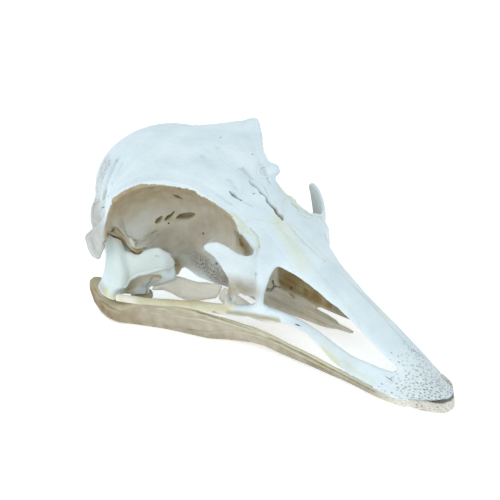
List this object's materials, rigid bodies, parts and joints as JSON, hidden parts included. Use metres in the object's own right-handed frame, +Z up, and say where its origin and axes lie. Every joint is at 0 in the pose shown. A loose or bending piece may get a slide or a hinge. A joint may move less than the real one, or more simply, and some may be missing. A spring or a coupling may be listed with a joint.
{
  "type": "bird skull",
  "caption": "Life-size dried skull of a large flightless bird: domed braincase, big round orbits, long open bill with thin bars, and closed lower jaw.",
  "frame": {"origin": "on the table under the middle of the skull's bounding box, at the level of the flats under the lower jaw", "axes": "+X from the back of the head to the tip of the bill, +Y to the bird's left, +Z up"},
  "size_m": [0.1844, 0.0874, 0.072],
  "materials": {
    "bleached_bone": "matt, dry bleached bone",
    "ivory_bone": "matt, dry ivory-coloured bone"
  },
  "bodies": {
    "root": {"cranium": "bleached_bone", "premaxilla": "bleached_bone", "nasal_left": "bleached_bone", "nasal_right": "bleached_bone", "maxilla_left": "bleached_bone", "maxilla_right": "bleached_bone", "jugal_left": "ivory_bone", "jugal_right": "ivory_bone", "lacrimal_left": "bleached_bone", "lacrimal_right": "bleached_bone", "quadrate_left": "bleached_bone", "quadrate_right": "bleached_bone", "pterygoid_left": "ivory_bone", "pterygoid_right": "ivory_bone", "palatine_left": "ivory_bone", "palatine_right": "ivory_bone", "mandible": "ivory_bone"}
  },
  "joints": []
}
